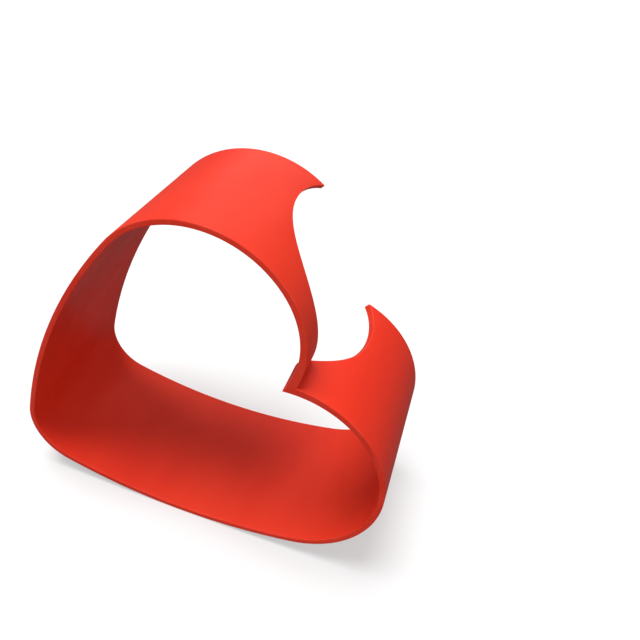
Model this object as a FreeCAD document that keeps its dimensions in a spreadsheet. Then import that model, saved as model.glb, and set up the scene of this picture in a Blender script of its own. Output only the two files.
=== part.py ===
import FreeCAD, Part
import math
import os
import Sketcher

# Heart-shaped bottle holder: one moulded band, bent into a heart and left hollow through its width.
# It lies on one of its convex sides, where it balances. A round hole for the bottle runs slanting through the
# arm of the upper lobe and across the cleft. It is set towards the back edge and opens there, so that one
# strip along the front edge still ties the arm to the cleft.
# The heart is drawn upright: X across it, Z along its axis from the tip to the lobes, Y through the band.

os.makedirs("parts", exist_ok=True)
doc = FreeCAD.newDocument("bottle_holder")

# Sizes in millimetres, angles in degrees.
SIZES = [
    ("band_width", 85.0, "width of the band, front edge to back edge"),
    ("wall", 3.2, "wall thickness round the tip, the sides and the outside of the lobes"),
    ("heart_height", 203.0, "outside height of the heart along its axis, tip to lobe top"),
    ("lobe_radius", 57.5, "outside radius of each lobe"),
    ("lobe_overlap", 12.5, "how far each lobe's outside arc reaches over the heart's axis"),
    ("side_radius", 300.0, "outside radius of each convex side"),
    ("tip_radius", 30.0, "outside radius of the rounded tip"),
    ("arm_taper", 3.2, "drop in inside radius along each inward arm, which thickens it to the cleft"),
    ("hole_radius", 43.5, "radius of the bottle hole"),
    ("hole_lean", 15.5, "angle of the hole from the heart's axis, towards the upper lobe"),
    ("hole_rise", 21.3, "distance of the hole's axis from the outer edge of the cleft"),
    ("hole_setback", 17.3, "distance of the hole's axis behind the middle of the band"),
    ("edge_round", 0.5, "rounding of the band's front and back edges"),
]
sheet = doc.addObject("Spreadsheet::Sheet", "sizes")
for row, (name, value, note) in enumerate(SIZES, start=1):
    sheet.set("A%d" % row, name)
    sheet.set("B%d" % row, str(value))
    sheet.set("C%d" % row, note)
    sheet.setAlias("B%d" % row, name)
doc.recompute()
(band_width, wall, heart_height, lobe_radius, lobe_overlap, side_radius, tip_radius, arm_taper,
 hole_radius, hole_lean, hole_rise, hole_setback, edge_round) = [float(sheet.get(s[0])) for s in SIZES]

# The arcs' centres, from which the sketch starts and the resting place is found.
# A side arc is tangent to the tip arc and to the lobe arc, and holds both on its inside.
half = lobe_radius - lobe_overlap
lobe_z = heart_height - lobe_radius
gap_tip, gap_lobe = side_radius - tip_radius, side_radius - lobe_radius
span = math.hypot(half, lobe_z - tip_radius)
along = (gap_tip ** 2 - gap_lobe ** 2 + span ** 2) / (2.0 * span)
across = math.sqrt(gap_tip ** 2 - along ** 2)
ux, uz = half / span, (lobe_z - tip_radius) / span
side_x = ux * along - uz * across
side_z = tip_radius + uz * along + ux * across
turn_tip = math.atan2(tip_radius - side_z, -side_x)
turn_lobe = math.atan2(lobe_z - side_z, half - side_x)
cleft_z = lobe_z + math.sqrt(lobe_radius ** 2 - half ** 2)
arm_radius = lobe_radius - wall - arm_taper
arm_z = lobe_z + arm_taper
turn_cleft = math.acos(-half / lobe_radius)
turn_inner = math.acos(-half / arm_radius)

body = doc.addObject("PartDesign::Body", "heart_band")
body.Label = "heart_band"


def origin_plane(role):
    return [f for f in body.Origin.OriginFeatures if f.Role == role][0]


def arc(x, z, r, start, end):
    circle = Part.Circle(FreeCAD.Vector(x, z, 0), FreeCAD.Vector(0, 0, 1), r)
    return Part.ArcOfCircle(circle, start, end)


# The band's section: three tangent arcs on each half outside, and inside the same wall followed round, with
# one more arc along each arm.
profile = body.newObject("Sketcher::SketchObject", "heart_profile")
profile.AttachmentSupport = [(origin_plane("XZ_Plane"), "")]
profile.MapMode = "FlatFace"
pi = math.pi
r_in = [tip_radius - wall, side_radius - wall, lobe_radius - wall]
TIP, SIDE_R, LOBE_R, LOBE_L, SIDE_L = range(5)
TIP_IN, SIDE_RIN, LOBE_RIN, ARM_R, ARM_L, LOBE_LIN, SIDE_LIN = range(5, 12)
profile.addGeometry([
    arc(0, tip_radius, tip_radius, pi - turn_tip - 2 * pi, turn_tip),
    arc(side_x, side_z, side_radius, turn_tip, turn_lobe),
    arc(half, lobe_z, lobe_radius, turn_lobe, turn_cleft),
    arc(-half, lobe_z, lobe_radius, pi - turn_cleft, pi - turn_lobe),
    arc(-side_x, side_z, side_radius, pi - turn_lobe, pi - turn_tip),
    arc(0, tip_radius, r_in[0], pi - turn_tip - 2 * pi, turn_tip),
    arc(side_x, side_z, r_in[1], turn_tip, turn_lobe),
    arc(half, lobe_z, r_in[2], turn_lobe, pi / 2),
    arc(half, arm_z, arm_radius, pi / 2, turn_inner),
    arc(-half, arm_z, arm_radius, pi - turn_inner, pi / 2),
    arc(-half, lobe_z, r_in[2], pi / 2, pi - turn_lobe),
    arc(-side_x, side_z, r_in[1], pi - turn_lobe, pi - turn_tip),
], False)
C = Sketcher.Constraint
START, END, CENTRE = 1, 2, 3
profile.addConstraint([
    C("Tangent", TIP, END, SIDE_R, START),
    C("Tangent", SIDE_R, END, LOBE_R, START),
    C("Coincident", LOBE_R, END, LOBE_L, START),
    C("Tangent", LOBE_L, END, SIDE_L, START),
    C("Tangent", SIDE_L, END, TIP, START),
    C("Tangent", TIP_IN, END, SIDE_RIN, START),
    C("Tangent", SIDE_RIN, END, LOBE_RIN, START),
    C("Tangent", LOBE_RIN, END, ARM_R, START),
    C("Coincident", ARM_R, END, ARM_L, START),
    C("Tangent", ARM_L, END, LOBE_LIN, START),
    C("Tangent", LOBE_LIN, END, SIDE_LIN, START),
    C("Tangent", SIDE_LIN, END, TIP_IN, START),
    C("PointOnObject", TIP, CENTRE, -2),
    C("Symmetric", LOBE_R, CENTRE, LOBE_L, CENTRE, -2),
    C("Coincident", TIP_IN, CENTRE, TIP, CENTRE),
    C("Coincident", LOBE_RIN, CENTRE, LOBE_R, CENTRE),
    C("Coincident", LOBE_LIN, CENTRE, LOBE_L, CENTRE),
    C("Vertical", LOBE_RIN, CENTRE, LOBE_RIN, END),
    C("Vertical", LOBE_LIN, CENTRE, LOBE_LIN, START),
])


def driven(sketch, constraint, name, formula):
    index = sketch.addConstraint(constraint)
    sketch.renameConstraint(index, name)
    sketch.setExpression("Constraints." + name, formula)


driven(profile, C("DistanceY", -1, 1, TIP, CENTRE, tip_radius), "tip_height", "sizes.tip_radius")
driven(profile, C("DistanceY", -1, 1, LOBE_R, CENTRE, lobe_z), "lobe_height",
       "sizes.heart_height - sizes.lobe_radius")
driven(profile, C("DistanceX", LOBE_L, CENTRE, LOBE_R, CENTRE, 2 * half), "between_lobes",
       "2 * (sizes.lobe_radius - sizes.lobe_overlap)")
for index, name, radius, formula in (
    (TIP, "tip_outside", tip_radius, "sizes.tip_radius"),
    (SIDE_R, "right_side_outside", side_radius, "sizes.side_radius"),
    (SIDE_L, "left_side_outside", side_radius, "sizes.side_radius"),
    (LOBE_R, "right_lobe_outside", lobe_radius, "sizes.lobe_radius"),
    (LOBE_L, "left_lobe_outside", lobe_radius, "sizes.lobe_radius"),
    (TIP_IN, "tip_inside", r_in[0], "sizes.tip_radius - sizes.wall"),
    (SIDE_RIN, "right_side_inside", r_in[1], "sizes.side_radius - sizes.wall"),
    (SIDE_LIN, "left_side_inside", r_in[1], "sizes.side_radius - sizes.wall"),
    (LOBE_RIN, "right_lobe_inside", r_in[2], "sizes.lobe_radius - sizes.wall"),
    (LOBE_LIN, "left_lobe_inside", r_in[2], "sizes.lobe_radius - sizes.wall"),
    (ARM_R, "right_arm_inside", arm_radius, "sizes.lobe_radius - sizes.wall - sizes.arm_taper"),
    (ARM_L, "left_arm_inside", arm_radius, "sizes.lobe_radius - sizes.wall - sizes.arm_taper"),
):
    driven(profile, C("Radius", index, radius), name, formula)

band = body.newObject("PartDesign::Pad", "band")
band.Profile = profile
band.SideType = "Symmetric"
band.Type = "Length"
band.setExpression("Length", "sizes.band_width")
doc.recompute()

# The bottle hole is drawn inside the heart, square to its own slanting axis, and cut outwards from there:
# through the arm of the upper lobe, the cleft and the root of the other arm. Its rim stays crisp.
hole = body.newObject("Sketcher::SketchObject", "hole_circle")
hole.AttachmentSupport = [(origin_plane("XY_Plane"), "")]
hole.MapMode = "FlatFace"
hole.AttachmentOffset = FreeCAD.Placement(FreeCAD.Vector(0, 0, lobe_z),
                                          FreeCAD.Rotation(FreeCAD.Vector(0, -1, 0), hole_lean))
hole.setExpression("AttachmentOffset.Base.z", "sizes.heart_height - sizes.lobe_radius")
hole.setExpression("AttachmentOffset.Rotation.Angle", "sizes.hole_lean")
cleft_over_lobes = "sqrt(sizes.lobe_radius ^ 2 - (sizes.lobe_radius - sizes.lobe_overlap) ^ 2)"
hole_x = hole_rise - (cleft_z - lobe_z) * math.sin(math.radians(hole_lean))
hole.addGeometry(Part.Circle(FreeCAD.Vector(-hole_x, hole_setback, 0), FreeCAD.Vector(0, 0, 1),
                             hole_radius), False)
driven(hole, C("Radius", 0, hole_radius), "radius", "sizes.hole_radius")
driven(hole, C("DistanceX", 0, CENTRE, -1, 1, hole_x), "from_middle",
       "sizes.hole_rise - %s * sin(sizes.hole_lean)" % cleft_over_lobes)
driven(hole, C("DistanceY", -1, 1, 0, CENTRE, hole_setback), "setback", "sizes.hole_setback")

cut = body.newObject("PartDesign::Pocket", "bottle_hole")
cut.Profile = hole
cut.Type = "ThroughAll"
cut.Reversed = True
doc.recompute()


def flat_rims(shape):
    """The edges that lie in the band's flat front and back faces, where the hole opens too."""
    return ["Edge%d" % i for i, edge in enumerate(shape.Edges, start=1)
            if edge.BoundBox.YLength < 0.01 and abs(abs(edge.CenterOfMass.y) - band_width / 2.0) < 0.01]


rounded = body.newObject("PartDesign::Fillet", "rounded_edges")
rounded.Base = (cut, flat_rims(cut.Shape))
rounded.setExpression("Radius", "sizes.edge_round")
body.Tip = rounded
doc.recompute()

# Resting place: the heart rolls on its lower side until its centre of mass is straight above the point where
# that side's arc touches the surface. The lowest point is then at Z = 0 and the width is centred on X = 0.
mass_centre = rounded.Shape.Solids[0].CenterOfMass
tilt = math.atan2(side_z - mass_centre.z, mass_centre.x - side_x)
left = tip_radius * math.cos(tilt) - tip_radius
right = lobe_z * math.cos(tilt) + half * math.sin(tilt) + lobe_radius
lowest = side_z * math.sin(tilt) - side_x * math.cos(tilt) - side_radius
body.Placement = FreeCAD.Placement(
    FreeCAD.Vector(-(left + right) / 2.0, 0, -lowest),
    FreeCAD.Rotation(FreeCAD.Vector(0, 1, 0), 90.0 - math.degrees(tilt)))
doc.recompute()

for item in doc.Objects:
    if "Invalid" in item.State or "Error" in item.State:
        raise RuntimeError("%s did not compute: %s" % (item.Label, item.State))
if not profile.FullyConstrained or not hole.FullyConstrained:
    raise RuntimeError("a sketch is not fully constrained")
if body.Shape.isNull() or not body.Shape.isValid() or len(body.Shape.Solids) != 1:
    raise RuntimeError("the band is not one valid solid")
if not cut.Shape.Volume < band.Shape.Volume - 1.0:
    raise RuntimeError("the bottle hole removes nothing")
print("tilt of the heart's axis %.2f degrees, volume %.0f mm3, box %s"
      % (math.degrees(tilt), body.Shape.Volume, body.Shape.BoundBox))
body.Shape.exportStep("parts/heart_band.step")
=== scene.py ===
import bmesh
import bpy
import math
from mathutils import Matrix, Vector


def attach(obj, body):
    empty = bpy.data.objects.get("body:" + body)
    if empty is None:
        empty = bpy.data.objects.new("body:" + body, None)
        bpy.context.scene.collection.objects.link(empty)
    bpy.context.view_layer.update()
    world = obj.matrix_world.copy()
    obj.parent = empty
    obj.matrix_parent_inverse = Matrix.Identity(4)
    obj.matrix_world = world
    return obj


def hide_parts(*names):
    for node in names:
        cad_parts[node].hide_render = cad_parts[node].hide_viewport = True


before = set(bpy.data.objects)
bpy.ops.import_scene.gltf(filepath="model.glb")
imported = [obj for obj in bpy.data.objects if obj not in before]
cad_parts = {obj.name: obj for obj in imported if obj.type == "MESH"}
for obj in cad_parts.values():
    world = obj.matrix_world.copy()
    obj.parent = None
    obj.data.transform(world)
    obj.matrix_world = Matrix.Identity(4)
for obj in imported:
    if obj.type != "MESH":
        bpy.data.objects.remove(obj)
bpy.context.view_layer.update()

scene = bpy.context.scene

# Camera. It stands in front of the holder and to its right, and looks down into the open heart. It leans a
# little with the heart, which lies here as it does when it holds nothing.
camera_data = bpy.data.cameras.new("camera")
camera_data.sensor_fit = "HORIZONTAL"
camera_data.sensor_width = 36.0
camera_data.lens = 37.475
camera_data.shift_x = 0.01115
camera_data.shift_y = -0.14286
camera_data.clip_start = 0.01
camera = bpy.data.objects.new("camera", camera_data)
camera.location = (0.10690, -0.26584, 0.34692)
camera.rotation_euler = tuple(math.radians(turn) for turn in (58.894, -6.086, 17.768))
scene.collection.objects.link(camera)
scene.camera = camera

# Heart band. One band of red plastic, moulded in one piece as a heart: a rounded tip, two long bowed sides
# and two round lobes whose arms meet in the cleft and thicken towards it. It lies on its lower side. One
# round hole runs slanting out through the upper arm and the cleft, and opens in the back edge.
MM = 0.001
BAND_WIDTH = 85.0 * MM
WALL = 3.2 * MM
HEART_HEIGHT = 203.0 * MM
LOBE_RADIUS = 57.5 * MM
LOBE_OVERLAP = 12.5 * MM
SIDE_RADIUS = 300.0 * MM
TIP_RADIUS = 30.0 * MM
ARM_TAPER = 3.2 * MM
EDGE_ROUND = 0.5 * MM
HOLE_RADIUS = 43.5 * MM
HOLE_LEAN = math.radians(15.5)
HOLE_RISE = 21.3 * MM
HOLE_SETBACK = 17.3 * MM
RIM_ROUND = 0.4 * MM
LIE = math.radians(32.89)
JOIN = 0.001 * MM

# How finely each arc is divided. These numbers keep the seams between the strips clear of the places where
# the rim of the hole runs along the band.
TIP_STEPS, SIDE_STEPS, LOBE_STEPS, ARM_STEPS, HOLE_STEPS = 24, 64, 69, 36, 256

# Where the arcs are centred, in a heart that stands on its tip, and where they pass into each other.
lobe_x, lobe_z = LOBE_RADIUS - LOBE_OVERLAP, HEART_HEIGHT - LOBE_RADIUS
reach_tip, reach_lobe = SIDE_RADIUS - TIP_RADIUS, SIDE_RADIUS - LOBE_RADIUS
span = math.hypot(lobe_x, lobe_z - TIP_RADIUS)
along = (reach_tip ** 2 - reach_lobe ** 2 + span ** 2) / (2 * span)
across = math.sqrt(reach_tip ** 2 - along ** 2)
run_x, run_z = lobe_x / span, (lobe_z - TIP_RADIUS) / span
side_x = run_x * along - run_z * across
side_z = TIP_RADIUS + run_z * along + run_x * across
turn_tip = math.atan2(TIP_RADIUS - side_z, -side_x)
turn_lobe = math.atan2(lobe_z - side_z, lobe_x - side_x)
arm_radius = LOBE_RADIUS - WALL - ARM_TAPER
turn_cleft = math.acos(-lobe_x / LOBE_RADIUS)
turn_cleft_inside = math.acos(-lobe_x / arm_radius)
cleft_rise = math.sqrt(LOBE_RADIUS ** 2 - lobe_x ** 2)

# Half of the band's front face: a line across the wall at the tip is swung round each arc in turn. Along the
# arm the inside has its own centre, so the two outlines are swung apart and joined.
heart = bmesh.new()
front = -BAND_WIDTH / 2
outside = heart.verts.new((0, front, 0))
inside = heart.verts.new((0, front, WALL))
wall_line = heart.edges.new((outside, inside))


def swing(geometry, x, z, turn, steps):
    """Sweep part of the outline round a centre in the face's plane, and hand back its far end."""
    swept = bmesh.ops.spin(heart, geom=geometry, cent=(x, front, z), axis=(0, -1, 0), angle=turn,
                           steps=steps, use_merge=False, use_duplicate=False)
    return swept["geom_last"]


end = swing([outside, inside, wall_line], 0, TIP_RADIUS, turn_tip + math.pi / 2, TIP_STEPS)
end = swing(end, side_x, side_z, turn_lobe - turn_tip, SIDE_STEPS)
end = swing(end, lobe_x, lobe_z, math.pi / 2 - turn_lobe, LOBE_STEPS)
end_points = [v for v in end if isinstance(v, bmesh.types.BMVert)]
inner_end, outer_end = sorted(end_points, key=lambda v: v.co.z)
before_arm = set(heart.edges)
swing([outer_end], lobe_x, lobe_z, turn_cleft - math.pi / 2, ARM_STEPS)
swing([inner_end], lobe_x, lobe_z + ARM_TAPER, turn_cleft_inside - math.pi / 2, ARM_STEPS)
bmesh.ops.bridge_loops(heart, edges=[e for e in heart.edges if e not in before_arm])

# The other half is its mirror image. The face is then drawn back through the band's width, the long edges
# are rounded, and the heart is laid down on its side.
bmesh.ops.mirror(heart, geom=heart.verts[:] + heart.edges[:] + heart.faces[:], axis="X", merge_dist=JOIN)
bmesh.ops.remove_doubles(heart, verts=heart.verts, dist=JOIN)
drawn = bmesh.ops.extrude_face_region(heart, geom=heart.faces[:])
bmesh.ops.translate(heart, vec=(0, BAND_WIDTH, 0),
                    verts=[v for v in drawn["geom"] if isinstance(v, bmesh.types.BMVert)])
bmesh.ops.recalc_face_normals(heart, faces=heart.faces)
long_edges = [e for e in heart.edges if e.calc_face_angle() > math.radians(80)
              and abs(e.verts[0].co.y - e.verts[1].co.y) < MM]
bmesh.ops.bevel(heart, geom=long_edges, offset=EDGE_ROUND, offset_type="OFFSET", segments=4, profile=0.5,
                affect="EDGES", material=-1)

# The round hole is bored outwards from inside the heart, along its own slanting axis.
BORE_LENGTH = 200.0 * MM
cutter = bmesh.new()
bmesh.ops.create_cone(cutter, cap_ends=True, segments=HOLE_STEPS, radius1=HOLE_RADIUS,
                      radius2=HOLE_RADIUS, depth=BORE_LENGTH)
bmesh.ops.translate(cutter, verts=cutter.verts, vec=(0, 0, BORE_LENGTH / 2))
hole_place = (Matrix.Translation((0, 0, lobe_z)) @ Matrix.Rotation(-HOLE_LEAN, 4, "Y")
              @ Matrix.Translation((cleft_rise * math.sin(HOLE_LEAN) - HOLE_RISE, HOLE_SETBACK, 0)))
bmesh.ops.transform(cutter, matrix=hole_place, verts=cutter.verts)

# Laid down: the lower side's arc touches the surface, and the heart's width is centred.
left = TIP_RADIUS * math.cos(LIE) - TIP_RADIUS
right = lobe_z * math.cos(LIE) + lobe_x * math.sin(LIE) + LOBE_RADIUS
lowest = side_z * math.sin(LIE) - side_x * math.cos(LIE) - SIDE_RADIUS
lay_down = (Matrix.Translation((-(left + right) / 2, 0, -lowest))
            @ Matrix.Rotation(math.pi / 2 - LIE, 4, "Y"))
for shape in (heart, cutter):
    bmesh.ops.transform(shape, matrix=lay_down, verts=shape.verts)


def finished(shape, name):
    """Make an object of a shape."""
    mesh = bpy.data.meshes.new(name)
    shape.to_mesh(mesh)
    shape.free()
    piece = bpy.data.objects.new(name, mesh)
    scene.collection.objects.link(piece)
    return piece


band, bore = finished(heart, "moulded_heart_band"), finished(cutter, "bore")
cut = band.modifiers.new("round_hole", "BOOLEAN")
cut.operation = "DIFFERENCE"
cut.solver = "EXACT"
cut.object = bore


def settle(piece):
    """Take a piece's modifiers into its mesh."""
    bpy.context.view_layer.update()
    dressed = piece.evaluated_get(bpy.context.evaluated_depsgraph_get())
    mesh = bpy.data.meshes.new_from_object(dressed)
    piece.modifiers.clear()
    piece.data = mesh


settle(band)
bpy.data.objects.remove(bore)

# The crumbs that the boring leaves along the rims of the hole are merged, and the rims are rounded.
CRUMB = 0.12 * MM
SLIVER = 0.02 * MM
ON_WALL = 0.03 * MM
bored = bmesh.new()
bored.from_mesh(band.data)
hole_frame = lay_down @ hole_place
to_hole = hole_frame.inverted()


def on_hole_wall(vert):
    """Whether a point of the band lies on the wall of the hole."""
    point = to_hole @ vert.co
    return point.z > 0 and abs(math.hypot(point.x, point.y) - HOLE_RADIUS) < ON_WALL


def hole_rims():
    """The edges where the wall of the hole meets the faces of the band."""
    return [e for e in bored.edges if all(on_hole_wall(v) for v in e.verts)
            and e.calc_face_angle() > math.radians(25)]


rim_points = list(dict.fromkeys(v for e in hole_rims() for v in e.verts))
bmesh.ops.remove_doubles(bored, verts=rim_points, dist=CRUMB)
bmesh.ops.dissolve_degenerate(bored, edges=bored.edges, dist=SLIVER)
bmesh.ops.bevel(bored, geom=hole_rims(), offset=RIM_ROUND, offset_type="OFFSET", segments=3, profile=0.5,
                affect="EDGES", material=-1)
bored.to_mesh(band.data)
bored.free()
band.data.shade_smooth()
band.data.set_sharp_from_angle(angle=math.radians(50))
even = band.modifiers.new("even_shading", "WEIGHTED_NORMAL")
even.keep_sharp = True
settle(band)

# The plastic is coloured right through. Its skin is satin, with a fine grain from the mould and a little
# unevenness where it flowed, and handling has rubbed the rims a touch smoother. The rims are also tinted a
# touch lighter, partly as rubbed wear and partly as a painted highlight. The patterns' sizes are in spots to
# a metre.
RED = (0.85, 0.044, 0.018, 1)
DEEP_RED = (0.79, 0.034, 0.014, 1)
# The rims' lighter red: partly rubbed wear, partly a painted highlight.
RUBBED_AND_HIGHLIGHT_RED = (0.87, 0.070, 0.040, 1)
RUB_AND_HIGHLIGHT_WIDTH = 1.1 * MM
RUB_AND_HIGHLIGHT_FULL = 0.1 * MM
GRAIN_DEPTH = 0.10 * MM
PEEL_DEPTH = 0.12 * MM

plastic = bpy.data.materials.new("red_satin_plastic")
plastic.use_nodes = True
nodes, links = plastic.node_tree.nodes, plastic.node_tree.links
skin = nodes["Principled BSDF"]
skin.inputs["IOR"].default_value = 1.45
skin.inputs["Specular IOR Level"].default_value = 0.16
place = nodes.new("ShaderNodeTexCoord")


def mottle(scale, detail, roughness, stretch=(1, 1, 1)):
    """A soft uneven pattern, which a stretch below 1 draws out along that axis."""
    mapping = nodes.new("ShaderNodeMapping")
    mapping.inputs["Scale"].default_value = stretch
    links.new(place.outputs["Object"], mapping.inputs["Vector"])
    noise = nodes.new("ShaderNodeTexNoise")
    noise.inputs["Scale"].default_value = scale
    noise.inputs["Detail"].default_value = detail
    noise.inputs["Roughness"].default_value = roughness
    links.new(mapping.outputs["Vector"], noise.inputs["Vector"])
    return noise.outputs["Fac"]


def spread(value, low, high, to_low, to_high):
    """A pattern's range from low to high, drawn out softly from to_low to to_high."""
    ramp = nodes.new("ShaderNodeMapRange")
    ramp.interpolation_type = "SMOOTHSTEP"
    for name, number in (("From Min", low), ("From Max", high), ("To Min", to_low), ("To Max", to_high)):
        ramp.inputs[name].default_value = number
    links.new(value, ramp.inputs["Value"])
    return ramp.outputs["Result"]


def reckon(how, first, second):
    """One sum on two values or numbers."""
    maths = nodes.new("ShaderNodeMath")
    maths.operation = how
    for socket, value in zip(maths.inputs, (first, second)):
        if isinstance(value, (int, float)):
            socket.default_value = value
        else:
            links.new(value, socket)
    return maths.outputs["Value"]


def tint(share, first, second):
    """One red turning into another."""
    mix = nodes.new("ShaderNodeMix")
    mix.data_type = "RGBA"
    links.new(share, mix.inputs["Factor"])
    for socket, colour in ((mix.inputs[6], first), (mix.inputs[7], second)):
        if isinstance(colour, tuple):
            socket.default_value = colour
        else:
            links.new(colour, socket)
    return mix.outputs[2]


def dent(height, strength, depth, under=None):
    """Relief in the skin, laid over another if one is given."""
    bump = nodes.new("ShaderNodeBump")
    bump.inputs["Strength"].default_value = strength
    bump.inputs["Distance"].default_value = depth
    links.new(height, bump.inputs["Height"])
    if under:
        links.new(under, bump.inputs["Normal"])
    return bump.outputs["Normal"]


# Rubbed places, which also carry a painted highlight: the front and back edges of the band, and the rim of
# the hole, by its distance from the hole's axis.
across_band = nodes.new("ShaderNodeSeparateXYZ")
links.new(place.outputs["Object"], across_band.inputs["Vector"])
off_middle = reckon("ABSOLUTE", across_band.outputs["Y"], 0.0)
long_rims = spread(off_middle, BAND_WIDTH / 2 - RUB_AND_HIGHLIGHT_WIDTH, BAND_WIDTH / 2 - RUB_AND_HIGHLIGHT_FULL, 0.0, 1.0)
hole_view = nodes.new("ShaderNodeMapping")
hole_view.vector_type = "TEXTURE"
hole_view.inputs["Location"].default_value = hole_frame.to_translation()
hole_view.inputs["Rotation"].default_value = hole_frame.to_euler()
links.new(place.outputs["Object"], hole_view.inputs["Vector"])
along_hole = nodes.new("ShaderNodeSeparateXYZ")
links.new(hole_view.outputs["Vector"], along_hole.inputs["Vector"])
off_axis = reckon("POWER", reckon("ADD", reckon("POWER", along_hole.outputs["X"], 2.0),
                                  reckon("POWER", along_hole.outputs["Y"], 2.0)), 0.5)
hole_rim = reckon("MULTIPLY", spread(off_axis, HOLE_RADIUS, HOLE_RADIUS + RUB_AND_HIGHLIGHT_WIDTH, 1.0, 0.0),
                  reckon("GREATER_THAN", along_hole.outputs["Z"], 0.0))
rim = reckon("MAXIMUM", long_rims, hole_rim)

flow = mottle(16.0, 3.0, 0.55, (1.0, 0.45, 1.0))
rub_and_highlight_patches = mottle(70.0, 5.0, 0.6)
peel = mottle(260.0, 3.0, 0.5)
grain = mottle(1900.0, 2.0, 0.5)

body_red = tint(spread(flow, 0.36, 0.64, 0.0, 1.0), DEEP_RED, RED)
# The rims are tinted towards the lighter red: partly rubbed wear, partly a painted highlight on the edges and
# on the front and back faces.
rub_and_highlight_share = reckon("MULTIPLY", rim, spread(rub_and_highlight_patches, 0.38, 0.68, 0.10, 0.55))
links.new(tint(rub_and_highlight_share, body_red, RUBBED_AND_HIGHLIGHT_RED), skin.inputs["Base Color"])
satin = reckon("ADD", spread(rub_and_highlight_patches, 0.35, 0.70, 0.42, 0.48), spread(flow, 0.35, 0.65, -0.02, 0.02))
links.new(reckon("SUBTRACT", satin, reckon("MULTIPLY", rim, 0.07)), skin.inputs["Roughness"])
links.new(dent(grain, 0.5, GRAIN_DEPTH, dent(peel, 0.35, PEEL_DEPTH)), skin.inputs["Normal"])

band.data.materials.clear()
band.data.materials.append(plastic)
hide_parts("heart_band")
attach(band, "root")

# Floor. A plain white sheet, wide enough to fill every view, that takes the holder's soft shadow. Seen
# directly it is white; what it throws back on the holder is dim, as from a pale table.
FLOOR_REACH = 8.0
SEEN_GREY, SEEN_GLOW, THROWN_GREY = 0.50, 0.45, 0.15
floor_mesh = bpy.data.meshes.new("white_floor")
sheet = bmesh.new()
bmesh.ops.create_grid(sheet, x_segments=1, y_segments=1, size=FLOOR_REACH)
sheet.to_mesh(floor_mesh)
sheet.free()
floor = bpy.data.objects.new("white_floor", floor_mesh)
scene.collection.objects.link(floor)
white = bpy.data.materials.new("white_sheet")
white.use_nodes = True
tree = white.node_tree
paper = tree.nodes["Principled BSDF"]
paper.inputs["Roughness"].default_value = 1.0
paper.inputs["Specular IOR Level"].default_value = 0.0
seen = tree.nodes.new("ShaderNodeLightPath")
shade = tree.nodes.new("ShaderNodeMix")
shade.data_type = "RGBA"
shade.inputs[6].default_value = (THROWN_GREY, THROWN_GREY, THROWN_GREY, 1)
shade.inputs[7].default_value = (SEEN_GREY, SEEN_GREY, SEEN_GREY, 1)
tree.links.new(seen.outputs["Is Camera Ray"], shade.inputs["Factor"])
tree.links.new(shade.outputs[2], paper.inputs["Base Color"])
glow = tree.nodes.new("ShaderNodeEmission")
share = tree.nodes.new("ShaderNodeMath")
share.operation = "MULTIPLY"
share.inputs[1].default_value = SEEN_GLOW
tree.links.new(seen.outputs["Is Camera Ray"], share.inputs[0])
tree.links.new(share.outputs["Value"], glow.inputs["Strength"])
both = tree.nodes.new("ShaderNodeAddShader")
tree.links.new(paper.outputs["BSDF"], both.inputs[0])
tree.links.new(glow.outputs["Emission"], both.inputs[1])
tree.links.new(both.outputs["Shader"], tree.nodes["Material Output"].inputs["Surface"])
floor_mesh.materials.append(white)


# Studio. Wide soft lamps far off: the main one overhead, dim ones in front and at the sides, and one behind
# that lays a sheen on the top. The room itself is pale.
def soft_lamp(name, bearing, rise, width, power):
    """A lamp at a bearing from the row's X axis, at a rise above level and so wide in the sky, in degrees."""
    lamp_data = bpy.data.lights.new(name, "SUN")
    lamp_data.angle = math.radians(width)
    lamp_data.energy = power
    lamp = bpy.data.objects.new(name, lamp_data)
    level = math.cos(math.radians(rise))
    aim = Vector((level * math.cos(math.radians(bearing)), level * math.sin(math.radians(bearing)),
                  math.sin(math.radians(rise))))
    lamp.location = aim * LAMP_DISTANCE
    lamp.rotation_euler = aim.to_track_quat("Z", "Y").to_euler()
    scene.collection.objects.link(lamp)


LAMP_DISTANCE = 2.0
soft_lamp("lamp_above", 197, 79, 32, 2.8)
soft_lamp("lamp_front", 262, 7, 34, 1.0)
soft_lamp("lamp_left", 200, 10, 34, 0.2)
soft_lamp("lamp_right", 345, 28, 38, 0.57)
soft_lamp("lamp_behind", 98, 27, 50, 0.65)
ROOM_LIGHT, ROOM_SEEN = 0.21, 1.0
room = bpy.data.worlds.new("pale_room")
room.use_nodes = True
room_nodes, room_links = room.node_tree.nodes, room.node_tree.links
room_light = room_nodes["Background"]
room_light.inputs["Color"].default_value = (1, 1, 1, 1)
room_light.inputs["Strength"].default_value = ROOM_LIGHT
room_seen = room_nodes.new("ShaderNodeBackground")
room_seen.inputs["Color"].default_value = (1, 1, 1, 1)
room_seen.inputs["Strength"].default_value = ROOM_SEEN
looked_at = room_nodes.new("ShaderNodeLightPath")
room_mix = room_nodes.new("ShaderNodeMixShader")
room_links.new(looked_at.outputs["Is Camera Ray"], room_mix.inputs["Fac"])
room_links.new(room_light.outputs["Background"], room_mix.inputs[1])
room_links.new(room_seen.outputs["Background"], room_mix.inputs[2])
room_links.new(room_mix.outputs["Shader"], room_nodes["World Output"].inputs["Surface"])
scene.world = room

scene.view_settings.view_transform = "Standard"
